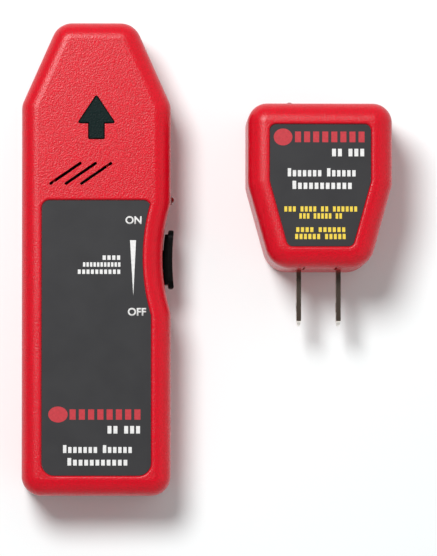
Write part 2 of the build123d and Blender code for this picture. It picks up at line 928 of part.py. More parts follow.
# ---------------------------------------------------------------- pickup coil in the tip
coil_plane = receiver_end_on(coil_low, coil_height)
with BuildPart() as pickup_core:
    with BuildSketch(coil_plane.offset(core_overhang)):
        Circle(core_radius)
    extrude(amount=-coil_length - 2 * core_overhang)
    chamfer(pickup_core.edges().filter_by(GeomType.CIRCLE), 0.3)
save(pickup_core, "pickup_core")

tube_radius = core_radius + 0.05 + bobbin_wall
with BuildPart() as pickup_bobbin:
    with BuildSketch(coil_plane):
        Circle(tube_radius)
    extrude(amount=-coil_length)
    for start in (0, -coil_length + coil_flange_thickness):
        with BuildSketch(coil_plane.offset(start)):
            RectangleRounded(coil_flange, coil_flange, 1.5)
        extrude(amount=-coil_flange_thickness)
    with BuildSketch(coil_plane):
        Circle(core_radius + 0.05)
    extrude(amount=-coil_length, mode=Mode.SUBTRACT)
save(pickup_bobbin, "pickup_bobbin")

winding_length = coil_length - 2 * coil_flange_thickness - 0.1
with BuildPart() as pickup_winding:
    with BuildSketch(coil_plane.offset(-coil_flange_thickness - 0.05)):
        Circle(winding_radius)
        Circle(tube_radius + 0.05, mode=Mode.SUBTRACT)
    extrude(amount=-winding_length)
save(pickup_winding, "pickup_winding")

with BuildPart() as pickup_leads:
    for x in (-3.6, 3.6):
        lead_end = receiver_at(0).from_local_coords((x, receiver_board_high - 2.5, receiver_board_top))
        lead_top = receiver_at(0).from_local_coords((x, receiver_board_high - 2.5, receiver_board_top + 2.6))
        lead_start = receiver_at(0).from_local_coords((x, coil_low, receiver_board_top + 2.6))
        add(wire_run([lead_start, lead_top, lead_end], [1.6], 0.3))
save(pickup_leads, "pickup_leads")

# ---------------------------------------------------------------- battery, its snap and leads
battery_middle_y = battery_end + battery_length / 2
with BuildPart() as battery_can:
    with BuildSketch(receiver_end_on(battery_end, battery_middle)):
        RectangleRounded(battery_width, battery_thickness, 2.0)
    extrude(amount=-battery_length)
    with BuildSketch(receiver_end_on(battery_end + battery_skin, battery_middle)):
        RectangleRounded(battery_width - 2 * battery_skin, battery_thickness - 2 * battery_skin, 1.6)
    extrude(amount=-battery_length, mode=Mode.SUBTRACT)
save(battery_can, "battery_can")

with BuildPart() as battery_cells:
    with BuildSketch(receiver_end_on(battery_end + 1.0, battery_middle)):
        with GridLocations(cell_diameter + 0.2, cell_diameter + 0.2, 3, 2):
            Circle(cell_diameter / 2)
    extrude(amount=-cell_length)
save(battery_cells, "battery_cells")

terminal_plate = 1.5
terminal_x = 6.35
terminal_reach = 2.1
plate_start = battery_end + battery_length - terminal_plate
plate_width = battery_width - 2 * battery_skin - 0.1
plate_height = battery_thickness - 2 * battery_skin - 0.1
with BuildPart() as battery_terminals:
    with BuildSketch(receiver_end_on(plate_start, battery_middle)):
        RectangleRounded(plate_width, plate_height, 1.5)
    extrude(amount=-terminal_plate)
    with BuildSketch(receiver_end_on(plate_start + terminal_plate, battery_middle)):
        with Locations((terminal_x, 0)):
            Circle(2.8)
        with Locations((-terminal_x, 0)):
            RegularPolygon(3.4, 6)
    extrude(amount=-terminal_reach)
save(battery_terminals, "battery_terminals")

with BuildPart() as battery_snap:
    with BuildSketch(receiver_end_on(snap_start, battery_middle)):
        RectangleRounded(24.0, 12.0, 5.5)
    extrude(amount=-snap_thickness)
    with BuildSketch(receiver_end_on(snap_start, battery_middle)):
        with Locations((terminal_x, 0)):
            Circle(2.9)
        with Locations((-terminal_x, 0)):
            RegularPolygon(3.5, 6)
    extrude(amount=-terminal_reach - 0.2, mode=Mode.SUBTRACT)
    fillet(battery_snap.edges().group_by(Axis.Y)[-1], 0.8)
save(battery_snap, "battery_snap")

lead_radius = 0.65
plug_height = 5.8
plug_y = receiver_board_low + 2.5
plug_x = 4.0
with BuildPart() as battery_connector:
    with BuildSketch(on_receiver_board(plug_x, plug_y)):
        Rectangle(7.4, 4.6)
    extrude(amount=plug_height)
    chamfer(battery_connector.edges().group_by(Axis.Z)[-1], 0.4)
save(battery_connector, "battery_connector")

snap_back = snap_start + snap_thickness
lead_height = receiver_board_top + 3.0
connector_face = plug_y - 2.3
for name, lead_x in (("battery_lead_red", 1.25), ("battery_lead_black", -1.25)):
    start = (lead_x, snap_back, battery_middle + 1.0)
    first = (lead_x, snap_back + 2.2, battery_middle + 1.0)
    second = (plug_x + lead_x, connector_face - 2.2, lead_height)
    last = (plug_x + lead_x, connector_face, lead_height)
    points = [receiver_at(0).from_local_coords(point) for point in (start, first, second, last)]
    with BuildPart() as battery_lead:
        add(wire_run(points, [2.4, 2.4], lead_radius))
    save(battery_lead, name)

battery_top = battery_low + battery_thickness
pad_gap = 0.1
with BuildPart() as battery_pad:
    with BuildSketch(receiver_at(battery_top + pad_gap)):
        with Locations((0, battery_middle_y)):
            RectangleRounded(20.0, 24.0, 2.0)
    extrude(amount=receiver_height - wall - battery_top - 2 * pad_gap)
save(battery_pad, "battery_pad")

# ---------------------------------------------------------------- openings that both transmitter shells share
with BuildPart() as transmitter_openings:
    with BuildSketch(transmitter_end_on(transmitter_end - 1, transmitter_split)):
        with GridLocations(blade_pitch, 1, 2, 1):
            Rectangle(blade_thickness + 2 * clearance, blade_width + 2 * clearance)
    extrude(amount=-wall - 2)
    with BuildSketch(transmitter_end_on(-transmitter_end + 1, transmitter_split)):
        with Locations((transmitter_led_x, 0)):
            Circle(led_diameter / 2 + led_hole_gap)
    extrude(amount=wall + 2)

# ---------------------------------------------------------------- transmitter front shell
transmitter_front_height = transmitter_height - transmitter_split
transmitter_front_block = rounded_block(
    transmitter_at(transmitter_split),
    transmitter_outline(),
    transmitter_front_height,
    transmitter_front_edge,
    True,
    seam_chamfer,
)
transmitter_front_room = rounded_block(
    transmitter_at(transmitter_split),
    transmitter_outline(wall),
    transmitter_front_height - wall,
    transmitter_front_edge - wall,
    True,
)
with BuildPart() as transmitter_front_shell:
    add(transmitter_front_block)
    add(transmitter_front_room, mode=Mode.SUBTRACT)
    with BuildSketch(transmitter_at(transmitter_split)):
        with Locations(transmitter_screws):
            Circle(front_boss_radius)
    extrude(amount=transmitter_front_height - wall)
    with BuildSketch(transmitter_at(transmitter_split)):
        with Locations(transmitter_screws):
            Circle(pilot_radius)
    extrude(amount=transmitter_front_height - 2 * wall, mode=Mode.SUBTRACT)
    with BuildSketch(transmitter_at(transmitter_split)):
        add(transmitter_outline(wall / 2))
        add(transmitter_outline(wall), mode=Mode.SUBTRACT)
    extrude(amount=tongue_height + tongue_gap, mode=Mode.SUBTRACT)
    with BuildSketch(transmitter_at(transmitter_height)):
        add(transmitter_label_outline(label_gap))
    extrude(amount=-label_depth, mode=Mode.SUBTRACT)
    fillet(transmitter_front_shell.edges(Select.LAST).group_by(Axis.Z)[-1], label_rim_round)
    # two narrow reliefs in the end wall, beside the blades
    with BuildSketch(transmitter_at(transmitter_split + blade_width / 2)):
        with Locations((relief_x, transmitter_end), (-relief_x, transmitter_end)):
            Rectangle(relief_width, 2 * relief_depth)
    extrude(amount=transmitter_front_height, mode=Mode.SUBTRACT)
    add(transmitter_openings.part, mode=Mode.SUBTRACT)
save(transmitter_front_shell, "transmitter_front_shell")

# ---------------------------------------------------------------- transmitter rear shell
transmitter_back_block = rounded_block(
    transmitter_at(0), transmitter_outline(), transmitter_split, back_edge, False, seam_chamfer
)
transmitter_back_room = rounded_block(
    transmitter_at(wall), transmitter_outline(wall), transmitter_split - wall, back_edge - wall, False
)
carrier_start = transmitter_end + wall + 0.2
carrier_low = transmitter_split - carrier_height / 2
with BuildPart() as transmitter_rear_shell:
    add(transmitter_back_block)
    add(transmitter_back_room, mode=Mode.SUBTRACT)
    with BuildSketch(transmitter_at(transmitter_split)):
        add(transmitter_outline(wall / 2 + tongue_gap))
        add(transmitter_outline(wall), mode=Mode.SUBTRACT)
    extrude(amount=tongue_height)
    with BuildSketch(transmitter_at(wall)):
        with Locations(transmitter_screws):
            Circle(boss_radius)
    extrude(amount=transmitter_split - wall)
    # ribs under the blade carrier and standoffs under the board
    with BuildSketch(transmitter_at(wall)):
        with Locations((0, carrier_start + carrier_length / 2)):
            with GridLocations(blade_pitch / 2, 1, 3, 1):
                Rectangle(1.6, carrier_length - 1)
    extrude(amount=carrier_low - wall)
    with BuildSketch(transmitter_at(wall)):
        with Locations(transmitter_board_screws):
            Circle(standoff_radius)
    extrude(amount=transmitter_board_top - board_thickness - wall)
    with BuildSketch(transmitter_at(transmitter_board_top - board_thickness)):
        with Locations(transmitter_board_screws):
            Circle(board_screw_shank + 0.05)
    extrude(amount=-board_screw_length, mode=Mode.SUBTRACT)
    with BuildSketch(transmitter_at(0)):
        with Locations(transmitter_screws):
            Circle(well_radius)
    extrude(amount=well_depth, mode=Mode.SUBTRACT)
    with BuildSketch(transmitter_at(well_depth)):
        with Locations(transmitter_screws):
            Circle(case_screw_shank + 0.15)
    extrude(amount=transmitter_split, mode=Mode.SUBTRACT)
    add(transmitter_openings.part, mode=Mode.SUBTRACT)
save(transmitter_rear_shell, "transmitter_rear_shell")

with BuildPart() as transmitter_label:
    with BuildSketch(transmitter_at(transmitter_height - label_depth)):
        add(transmitter_label_outline())
    extrude(amount=label_thickness)
save(transmitter_label, "transmitter_label")

# ---------------------------------------------------------------- plug blades, their carrier and leads
blade_low = transmitter_split - blade_width / 2
blade_end = transmitter_end + blade_tail
blade_tip = transmitter_end - blade_reach
for name, x in (("blade_left", -blade_pitch / 2), ("blade_right", blade_pitch / 2)):
    half = blade_thickness / 2
    narrow = half - blade_tip_narrowing
    with BuildPart() as blade:
        with BuildSketch(transmitter_at(blade_low)):
            with BuildLine():
                Polyline(
                    (x - half, blade_end),
                    (x - half, blade_tip + blade_tip_length),
                    (x - narrow, blade_tip),
                    (x + narrow, blade_tip),
                    (x + half, blade_tip + blade_tip_length),
                    (x + half, blade_end),
                    close=True,
                )
            make_face()
        extrude(amount=blade_width)
        side = Plane(
            origin=(transmitter_x + x - blade_thickness, transmitter_y, transmitter_split),
            x_dir=(0, 1, 0),
            z_dir=(1, 0, 0),
        )
        with BuildSketch(side):
            with BuildLine():
                FilletPolyline(
                    (blade_end, -blade_width / 2),
                    (blade_tip, -blade_width / 2),
                    (blade_tip, blade_width / 2),
                    (blade_end, blade_width / 2),
                    radius=[0.01, 1.4, 1.4, 0.01],
                    close=True,
                )
            make_face()
            with Locations((transmitter_end - blade_hole_from_base, 0)):
                Circle(blade_hole_radius, mode=Mode.SUBTRACT)
        extrude(amount=2 * blade_thickness, mode=Mode.INTERSECT)
    save(blade, name)

carrier_width = blade_pitch + blade_thickness + 2 * carrier_side
with BuildPart() as blade_carrier:
    with BuildSketch(transmitter_end_on(carrier_start, transmitter_split)):
        RectangleRounded(carrier_width, carrier_height, 1.0)
        with GridLocations(blade_pitch, 1, 2, 1):
            Rectangle(blade_thickness + 0.1, blade_width + 0.1, mode=Mode.SUBTRACT)
    extrude(amount=-carrier_length)
save(blade_carrier, "blade_carrier")

with BuildPart() as blade_leads:
    for x in (-blade_pitch / 2, blade_pitch / 2):
        inner = x * 0.7
        route = [
            (x, blade_end, transmitter_split),
            (x, blade_end + 3.0, transmitter_split),
            (inner, transmitter_board_low + 3.0, transmitter_split - 1.0),
            (inner, transmitter_board_low + 3.0, transmitter_board_top),
        ]
        add(wire_run([transmitter_at(0).from_local_coords(point) for point in route], [2.0, 2.0], 0.8))
save(blade_leads, "blade_leads")

# ---------------------------------------------------------------- transmitter light
led_tip_y = -transmitter_end + transmitter_led_proud
led_back_y = led_tip_y - led_length
with BuildPart() as transmitter_led:
    lamp = Plane(
        origin=transmitter_at(0).from_local_coords((transmitter_led_x, led_back_y, transmitter_split)),
        x_dir=(1, 0, 0),
        z_dir=(0, 1, 0),
    )
    add(led_body(lamp, led_diameter, led_flange, led_length))
    for dx in (-1.27, 1.27):
        low_x = transmitter_led_x + dx - lead_square / 2
        high_x = low_x + lead_square
        low_z = transmitter_split - lead_square / 2
        high_z = low_z + lead_square
        bend_y = transmitter_board_high - 2.0
        add(box_between(transmitter_at(0), (low_x, bend_y, low_z), (high_x, led_back_y, high_z)))
        down = (high_x, bend_y + lead_square, high_z)
        add(box_between(transmitter_at(0), (low_x, bend_y, transmitter_board_top), down))
save(transmitter_led, "transmitter_led")


# ---------------------------------------------------------------- transmitter board and what it carries
def on_transmitter_board(x, y):
    """A drawing plane on top of the transmitter's board."""
    return Plane(origin=transmitter_at(transmitter_board_top).from_local_coords((x, y, 0)))


with BuildPart() as transmitter_board:
    with BuildSketch(transmitter_at(transmitter_board_top - board_thickness)):
        with Locations((0, (transmitter_board_low + transmitter_board_high) / 2)):
            RectangleRounded(transmitter_board_width, transmitter_board_high - transmitter_board_low, 1.5)
        with Locations(transmitter_screws[:2]):
            Circle(boss_radius + 0.4, mode=Mode.SUBTRACT)
        with Locations(transmitter_board_screws):
            Circle(board_screw_shank + 0.2, mode=Mode.SUBTRACT)
    extrude(amount=board_thickness)
save(transmitter_board, "transmitter_board")

with BuildPart() as transmitter_board_screw_set:
    for x, y in transmitter_board_screws:
        seat = transmitter_at(transmitter_board_top).from_local_coords((x, y, 0))
        plane = Plane(origin=seat, x_dir=(1, 0, 0), z_dir=(0, 0, -1))
        add(screw(plane, board_screw_head, 1.2, board_screw_shank, board_screw_length))
save(transmitter_board_screw_set, "transmitter_board_screws")

with BuildPart() as transmitter_case_screws:
    for x, y in transmitter_screws:
        plane = Plane(origin=transmitter_at(well_depth).from_local_coords((x, y, 0)))
        add(screw(plane, case_screw_head, case_screw_head_height, case_screw_shank, case_screw_length))
save(transmitter_case_screws, "transmitter_case_screws")

with BuildPart() as film_capacitor:
    with BuildSketch(on_transmitter_board(-8.0, -2.5)):
        RectangleRounded(12.0, 6.0, 0.6)
    extrude(amount=12.0)
    fillet(film_capacitor.edges().group_by(Axis.Z)[-1], 0.5)
save(film_capacitor, "film_capacitor")

with BuildPart() as load_resistor:
    with BuildSketch(on_transmitter_board(1.6, 17.0)):
        Rectangle(7.0, 7.0)
    extrude(amount=16.0)
    chamfer(load_resistor.edges().group_by(Axis.Z)[-1], 0.5)
save(load_resistor, "load_resistor")

varistor_height = 5.8
varistor_thickness = 3.6
varistor_start = (-varistor_thickness / 2, 0, varistor_height)
varistor_face = on_transmitter_board(11.5, 0.5).from_local_coords(varistor_start)
with BuildPart() as varistor:
    with BuildSketch(Plane(origin=varistor_face, x_dir=(0, 1, 0), z_dir=(1, 0, 0))):
        Circle(4.6)
    extrude(amount=varistor_thickness)
    fillet(varistor.edges().filter_by(GeomType.CIRCLE), 1.2)
    with BuildSketch(on_transmitter_board(11.5, 0.5)):
        with Locations((0, -2.5), (0, 2.5)):
            Circle(0.4)
    extrude(amount=3.0)
save(varistor, "varistor")

with BuildPart() as fuse:
    add(lead_and_body(on_transmitter_board(7.5, 7.5), 1.4, 7.0, 0.3, 12.0, 2.0))
save(fuse, "fuse")

with BuildPart() as triac:
    with BuildSketch(on_transmitter_board(-11.0, 5.5)):
        with Locations(*[(dx, 0) for dx in (-2.54, 0, 2.54)]):
            Rectangle(0.9, 0.5)
    extrude(amount=4.0)
    with BuildSketch(on_transmitter_board(-11.0, 5.5).offset(4.0)):
        Rectangle(9.8, 3.6)
    extrude(amount=8.5)
    with BuildSketch(on_transmitter_board(-11.0, 4.1).offset(12.5)):
        Rectangle(9.8, 0.8)
    extrude(amount=6.0)
save(triac, "triac")

with BuildPart() as smoothing_capacitor:
    add(can_capacitor(on_transmitter_board(4.0, 0.5), 3.1, 11.0))
save(smoothing_capacitor, "smoothing_capacitor")

with BuildPart() as timer_chip:
    add(chip(on_transmitter_board(-6.8, 13.6), 6.3, 9.6, 3.3, 8))
save(timer_chip, "timer_chip")
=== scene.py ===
# %% [markdown]
# # A circuit breaker finder: finish, print and light
# The set is a hand-held receiver and a transmitter that plugs into an outlet. Both lie on their backs.
# The solid model is already exact, so it is loaded as a frame that stays put, and this script gives it what
# a solid model lacks: moulded grain, printed ink, lenses, plated metal, a table and soft light.

import bmesh
import bpy
from mathutils import Matrix, Vector


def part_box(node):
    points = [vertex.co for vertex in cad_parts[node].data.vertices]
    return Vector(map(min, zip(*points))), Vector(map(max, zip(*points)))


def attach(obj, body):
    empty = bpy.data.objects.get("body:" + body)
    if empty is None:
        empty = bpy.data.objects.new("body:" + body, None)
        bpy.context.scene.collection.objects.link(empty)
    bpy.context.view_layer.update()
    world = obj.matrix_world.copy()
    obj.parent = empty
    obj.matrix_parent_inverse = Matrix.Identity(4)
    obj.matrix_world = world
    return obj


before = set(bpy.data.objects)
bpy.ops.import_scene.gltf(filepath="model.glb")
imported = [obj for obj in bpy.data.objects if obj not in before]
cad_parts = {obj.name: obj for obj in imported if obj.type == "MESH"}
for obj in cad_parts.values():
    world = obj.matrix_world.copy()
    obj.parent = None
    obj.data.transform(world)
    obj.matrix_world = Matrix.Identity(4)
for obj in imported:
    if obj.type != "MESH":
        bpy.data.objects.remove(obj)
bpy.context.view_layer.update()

scene = bpy.context.scene

# %% [markdown]
# ## Places
# A maker measures from the part itself, so the print, the camera and the lights all take their places from
# the model's own boxes. Each case has a middle that its label is centred on, and the label's face is the
# surface that ink sits on.

# %% Middles and heights
MM = 0.001


def middle(node):
    """The middle of a node's box."""
    low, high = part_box(node)
    return (low + high) / 2


receiver_middle = middle("receiver_rear_shell")
transmitter_middle = middle("transmitter_rear_shell")
receiver_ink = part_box("receiver_label")[1].z
transmitter_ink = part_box("transmitter_label")[1].z
seam_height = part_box("transmitter_front_shell")[0].z
print("receiver", receiver_middle, "transmitter", transmitter_middle)

# %% [markdown]
# ## Camera
# A catalogue view is taken from far off with a long lens, so that the sides of the cases hardly show. The
# camera stands high over the receiver's lower end and leans a little towards the middle of the pair. A
# nearer camera with a shorter lens would frame the same, but it would show the walls and swell the taller
# piece. The field is set by how much of the table it covers from top to bottom. The aim is given from the
# model's origin, which lies under the middle of the pair.

# %% Long-lens camera from above
camera_height = 1.78
field_height = 178.4 * MM
foot_shift = Vector((-0.16 * MM, -0.3 * MM, camera_height))
aim_shift = Vector((4.0 * MM, -5.8 * MM, seam_height))
lower_end = Vector((receiver_middle.x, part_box("receiver_rear_shell")[0].y, 0))

camera_data = bpy.data.cameras.new("camera")
camera = bpy.data.objects.new("camera", camera_data)
scene.collection.objects.link(camera)
camera.location = lower_end + foot_shift
gaze = aim_shift - camera.location
camera_back = -gaze.normalized()
camera_right = Vector((0, 1, 0)).cross(camera_back).normalized()
camera_up = camera_back.cross(camera_right)
camera.rotation_mode = "QUATERNION"
camera.rotation_quaternion = Matrix((camera_right, camera_up, camera_back)).transposed().to_quaternion()
camera_data.sensor_width = 36
camera_data.lens = camera_data.sensor_width * gaze.length / field_height
camera_data.clip_end = 20
scene.camera = camera
print("lens", round(camera_data.lens, 1), "distance", round(gaze.length, 3))

# %% [markdown]
# ## Lamp
# One broad lamp, high to the upper left, lights the table and throws the soft shadow down to the right. A
# lamp's shadow edge is as soft as the lamp looks wide from the table, so its size is chosen from its
# distance. A smaller lamp would cut a hard shadow, and a wider one would melt the blades' shadow away.

# %% Broad round lamp
lamp_reach = 1.15
lamp_width = 0.42
lamp_watts = 12.2
lamp_lean = Vector((-0.29, 0.42, 1.0)).normalized()

lamp_data = bpy.data.lights.new("lamp", "AREA")
lamp_data.shape = "DISK"
lamp_data.size = lamp_width
lamp_data.energy = lamp_watts
lamp = bpy.data.objects.new("lamp", lamp_data)
scene.collection.objects.link(lamp)
lamp.location = lamp_lean * lamp_reach
lamp.rotation_mode = "QUATERNION"
lamp.rotation_quaternion = lamp_lean.to_track_quat("Z", "Y")
print("lamp at", tuple(round(at, 2) for at in lamp.location), "watts", lamp_watts)

# %% [markdown]
# ## Room
# The pale room fills the shadow. It is a plain gradient that is darker towards the left, so that the left
# flanks keep a deep red and the right flanks pick up some white. Straight overhead it is nearly black, as a
# studio ceiling is, so that flat faces keep their own colour and bare metal seen from above looks dark. An
# even white room would be simpler, but it would pale the label and the blades.

# %% Graded room with a dark ceiling
side_reach = 0.9
left_glow, right_glow = 0.32, 0.95
ceiling_start, ceiling_full = 0.80, 0.96
wall_share, ceiling_share = 1.0, 0.08


def graded(tree, value, low, high, start, end):
    """Runs a value from low to high while it goes from start to end."""
    node = tree.nodes.new("ShaderNodeMapRange")
    node.inputs["From Min"].default_value = start
    node.inputs["From Max"].default_value = end
    node.inputs["To Min"].default_value = low
    node.inputs["To Max"].default_value = high
    tree.links.new(value, node.inputs["Value"])
    return node.outputs["Result"]


world = bpy.data.worlds.new("room")
scene.world = world
world.use_nodes = True
room = world.node_tree
room.nodes.clear()
room_place = room.nodes.new("ShaderNodeTexCoord")
room_split = room.nodes.new("ShaderNodeSeparateXYZ")
room.links.new(room_place.outputs["Generated"], room_split.inputs[0])
walls = graded(room, room_split.outputs["X"], left_glow, right_glow, -side_reach, side_reach)
ceiling = graded(room, room_split.outputs["Z"], wall_share, ceiling_share, ceiling_start, ceiling_full)
room_level = room.nodes.new("ShaderNodeMath")
room_level.operation = "MULTIPLY"
room.links.new(walls, room_level.inputs[0])
room.links.new(ceiling, room_level.inputs[1])
room_glow = room.nodes.new("ShaderNodeBackground")
room_out = room.nodes.new("ShaderNodeOutputWorld")
room.links.new(room_level.outputs[0], room_glow.inputs["Strength"])
room.links.new(room_glow.outputs[0], room_out.inputs[0])
scene.view_settings.view_transform = "Standard"
print("room from", left_glow, "at the left to", right_glow, "at the right,", ceiling_share, "overhead")

# %% [markdown]
# ## Table
# The table is one pale sheet, wide enough to run out of every view. It is a grid of a few squares pushed
# just below the cases, so that the two never share a plane.

# %% Table top
table_half = 3.0
table_drop = 0.05 * MM
table_mesh = bpy.data.meshes.new("table")
table_form = bmesh.new()
bmesh.ops.create_grid(table_form, x_segments=4, y_segments=4, size=table_half)
bmesh.ops.translate(table_form, verts=table_form.verts, vec=(0, 0, -table_drop))
table_form.to_mesh(table_mesh)
table_form.free()
table = bpy.data.objects.new("table", table_mesh)
scene.collection.objects.link(table)
table_finish = bpy.data.materials.new("table_white")
table_finish.use_nodes = True
table_shader = table_finish.node_tree.nodes["Principled BSDF"]
table_shader.inputs["Base Color"].default_value = (0.875, 0.91, 0.91, 1)
table_shader.inputs["Roughness"].default_value = 0.75
table_shader.inputs["Specular IOR Level"].default_value = 0.2
table_mesh.materials.append(table_finish)
print("table", tuple(round(side, 2) for side in table.dimensions))

# %% [markdown]
# ## How a finish is built
# Each finish is one Principled shader fed by a few patterns that read the piece's own coordinates, so a
# pattern stays on the piece when it moves. Three things repeat in almost every finish: a noise pattern, a
# ramp that turns it into colour or roughness, and a bump that turns it into relief. Each is a short helper.

# %% Helpers for finishes
finishes = {}


class Finish:
    """A material under construction: its shader, and the patterns that feed it."""

    def __init__(self, name, colour, roughness, metallic=0.0, gloss=0.5):
        self.material = bpy.data.materials.new(name)
        self.material.use_nodes = True
        self.tree = self.material.node_tree
        self.nodes = self.tree.nodes
        self.links = self.tree.links
        self.shader = self.nodes["Principled BSDF"]
        self.shader.inputs["Base Color"].default_value = (*colour, 1)
        self.shader.inputs["Roughness"].default_value = roughness
        self.shader.inputs["Metallic"].default_value = metallic
        self.shader.inputs["Specular IOR Level"].default_value = gloss
        self.place = self.nodes.new("ShaderNodeTexCoord").outputs["Object"]
        self.relief = None
        finishes[name] = self.material

    def stretched(self, scale):
        """The piece's coordinates, stretched along its axes."""
        mapping = self.nodes.new("ShaderNodeMapping")
        mapping.inputs["Scale"].default_value = scale
        self.links.new(self.place, mapping.inputs["Vector"])
        return mapping.outputs["Vector"]

    def along(self, axis):
        """The piece's own coordinate along one axis, in metres."""
        split = self.nodes.new("ShaderNodeSeparateXYZ")
        self.links.new(self.place, split.inputs[0])
        return split.outputs[axis]

    def noise(self, grain, detail=2.0, place=None):
        """A noise whose spots are about one grain across, in metres."""
        node = self.nodes.new("ShaderNodeTexNoise")
        node.inputs["Scale"].default_value = 1 / grain
        node.inputs["Detail"].default_value = detail
        self.links.new(place or self.place, node.inputs["Vector"])
        return node.outputs["Fac"]

    def cells(self, grain):
        """A cell pattern, as leather grain has, with cells about one grain across."""
        node = self.nodes.new("ShaderNodeTexVoronoi")
        node.inputs["Scale"].default_value = 1 / grain
        self.links.new(self.place, node.inputs["Vector"])
        return node.outputs["Distance"]

    def ramp(self, value, low, high, start=0.35, end=0.65):
        """Runs a pattern's value from low to high, within the middle of its range."""
        return graded(self.tree, value, low, high, start, end)

    def blend(self, value, first, second, start=0.35, end=0.65):
        """Runs a pattern's value from one colour to another, onto the base colour."""
        mix = self.nodes.new("ShaderNodeMix")
        mix.data_type = "RGBA"
        mix.inputs["A"].default_value = (*first, 1)
        mix.inputs["B"].default_value = (*second, 1)
        self.links.new(self.ramp(value, 0, 1, start, end), mix.inputs["Factor"])
        self.links.new(mix.outputs["Result"], self.shader.inputs["Base Color"])

    def rough(self, value, low, high, start=0.35, end=0.65):
        """Runs a pattern's value onto the roughness."""
        self.links.new(self.ramp(value, low, high, start, end), self.shader.inputs["Roughness"])

    def bump(self, value, depth, strength=1.0):
        """Adds a pattern to the relief, with its depth in metres."""
        node = self.nodes.new("ShaderNodeBump")
        node.inputs["Distance"].default_value = depth
        node.inputs["Strength"].default_value = strength
        self.links.new(value, node.inputs["Height"])
        if self.relief:
            self.links.new(self.relief, node.inputs["Normal"])
        self.relief = node.outputs["Normal"]
        self.links.new(self.relief, self.shader.inputs["Normal"])


def wear(finish, *nodes):
    """Puts a finish on model nodes, in their own material slots."""
    for node in nodes:
        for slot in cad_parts[node].material_slots:
            slot.material = finishes[finish]


print("a finish can use", [helper for helper in vars(Finish) if not helper.startswith("_")])

# %% [markdown]
# ## Red moulded cases
# The cases are injection-moulded in red ABS against a spark-eroded steel mould, which leaves a fine, even
# grain with no direction. A noise of about 0.4 mm carries the grain, and a much shallower pattern of cells
# breaks it up. The grain's tops are painted a brighter red as a painted highlight and its valleys a deeper
# red as painted shade, and the tops are a little shinier too, which is what makes the rounded edges sparkle.

# %% Red grained plastic
case_red = (0.67, 0.002, 0.016)
case_red_painted_shade = (0.47, 0.001, 0.008)
grain_size, grain_depth = 0.42 * MM, 0.09 * MM
cell_size, cell_depth = 0.6 * MM, 0.02 * MM
red = Finish("red_case", case_red, 0.30, gloss=0.32)
grain = red.noise(grain_size)
# The blend paints the grain's valleys a deeper red as painted shade and its tops a brighter red as painted
# highlight.
red.blend(grain, case_red_painted_shade, case_red)
red.rough(grain, 0.34, 0.26)
red.bump(grain, grain_depth)
red.bump(red.cells(cell_size), cell_depth, 0.8)
wear(
    "red_case",
    "receiver_front_shell",
    "receiver_rear_shell",
    "battery_door",
    "transmitter_front_shell",
    "transmitter_rear_shell",
)
print("case red", case_red, "grain", round(grain_size / MM, 2), "mm")

# %% [markdown]
# ## Label film
# The labels are charcoal polycarbonate film with a velvet face, printed on top. Film is smoother than the
# case, so its grain is finer and shallower, and its grey drifts by a hair over the sheet.

# %% Charcoal film
film = Finish("label_film", (0.036, 0.034, 0.036), 0.5, gloss=0.2)
film.blend(film.noise(9 * MM), (0.027, 0.027, 0.029), (0.031, 0.031, 0.033))
velvet = film.noise(0.18 * MM)
film.rough(velvet, 0.55, 0.46)
film.bump(velvet, 0.006 * MM, 0.5)
wear("label_film", "receiver_label", "transmitter_label")
print("labels end at heights", round(receiver_ink, 5), round(transmitter_ink, 5))

# %% [markdown]
# ## Lenses
# The arrow is a lens of smoked green acrylic, dark until its lamps light it, with a pebbled face that
# spreads the light. The two small round lamps are clear red epoxy. A dark tint looks like smoked acrylic and
# costs less to render than true glass. The round lamps get a clear coat, and a little transmission lets them
# glow at their rims.

# %% Smoked arrow and red lamps
smoke = Finish("arrow_lens", (0.003, 0.010, 0.009), 0.30, gloss=0.06)
pebble = smoke.noise(0.5 * MM)
smoke.blend(pebble, (0.002, 0.008, 0.008), (0.005, 0.016, 0.015))
smoke.rough(pebble, 0.42, 0.30)
smoke.bump(pebble, 0.12 * MM)
wear("arrow_lens", "arrow_window")

lamp_red = Finish("red_lens", (0.30, 0.008, 0.008), 0.12)
lamp_red.shader.inputs["Transmission Weight"].default_value = 0.35
lamp_red.shader.inputs["Coat Weight"].default_value = 0.6
haze = lamp_red.noise(0.8 * MM)
lamp_red.rough(haze, 0.10, 0.18)
wear("red_lens", "power_led", "transmitter_led")

lamp_green = Finish("green_lens", (0.05, 0.32, 0.10), 0.15)
lamp_green.rough(lamp_green.noise(0.8 * MM), 0.10, 0.22)
wear("green_lens", "arrow_leds")
print("lenses done, finishes so far", len(finishes))

# %% [markdown]
# ## Black plastics
# The slide button is black ABS, polished where a thumb rubs it. The parts inside are black too, but matte.

# %% Button and inside blacks
thumb = Finish("button_black", (0.002, 0.002, 0.002), 0.30, gloss=0.06)
rub = thumb.noise(1.2 * MM, 3)
thumb.rough(rub, 0.42, 0.28)
thumb.bump(thumb.noise(0.3 * MM), 0.02 * MM, 0.4)
wear("button_black", "switch_button", "switch_lever")

matte = Finish("inside_black", (0.018, 0.018, 0.020), 0.6)
matte.rough(matte.noise(0.5 * MM), 0.66, 0.52)
matte.bump(matte.noise(0.2 * MM), 0.01 * MM, 0.4)
wear(
    "inside_black",
    "beeper",
    "amplifier_chip",
    "controller_chip",
    "timer_chip",
    "triac",
    "battery_connector",
    "battery_terminals",
    "battery_snap",
)
print("button gloss", thumb.shader.inputs["Specular IOR Level"].default_value)
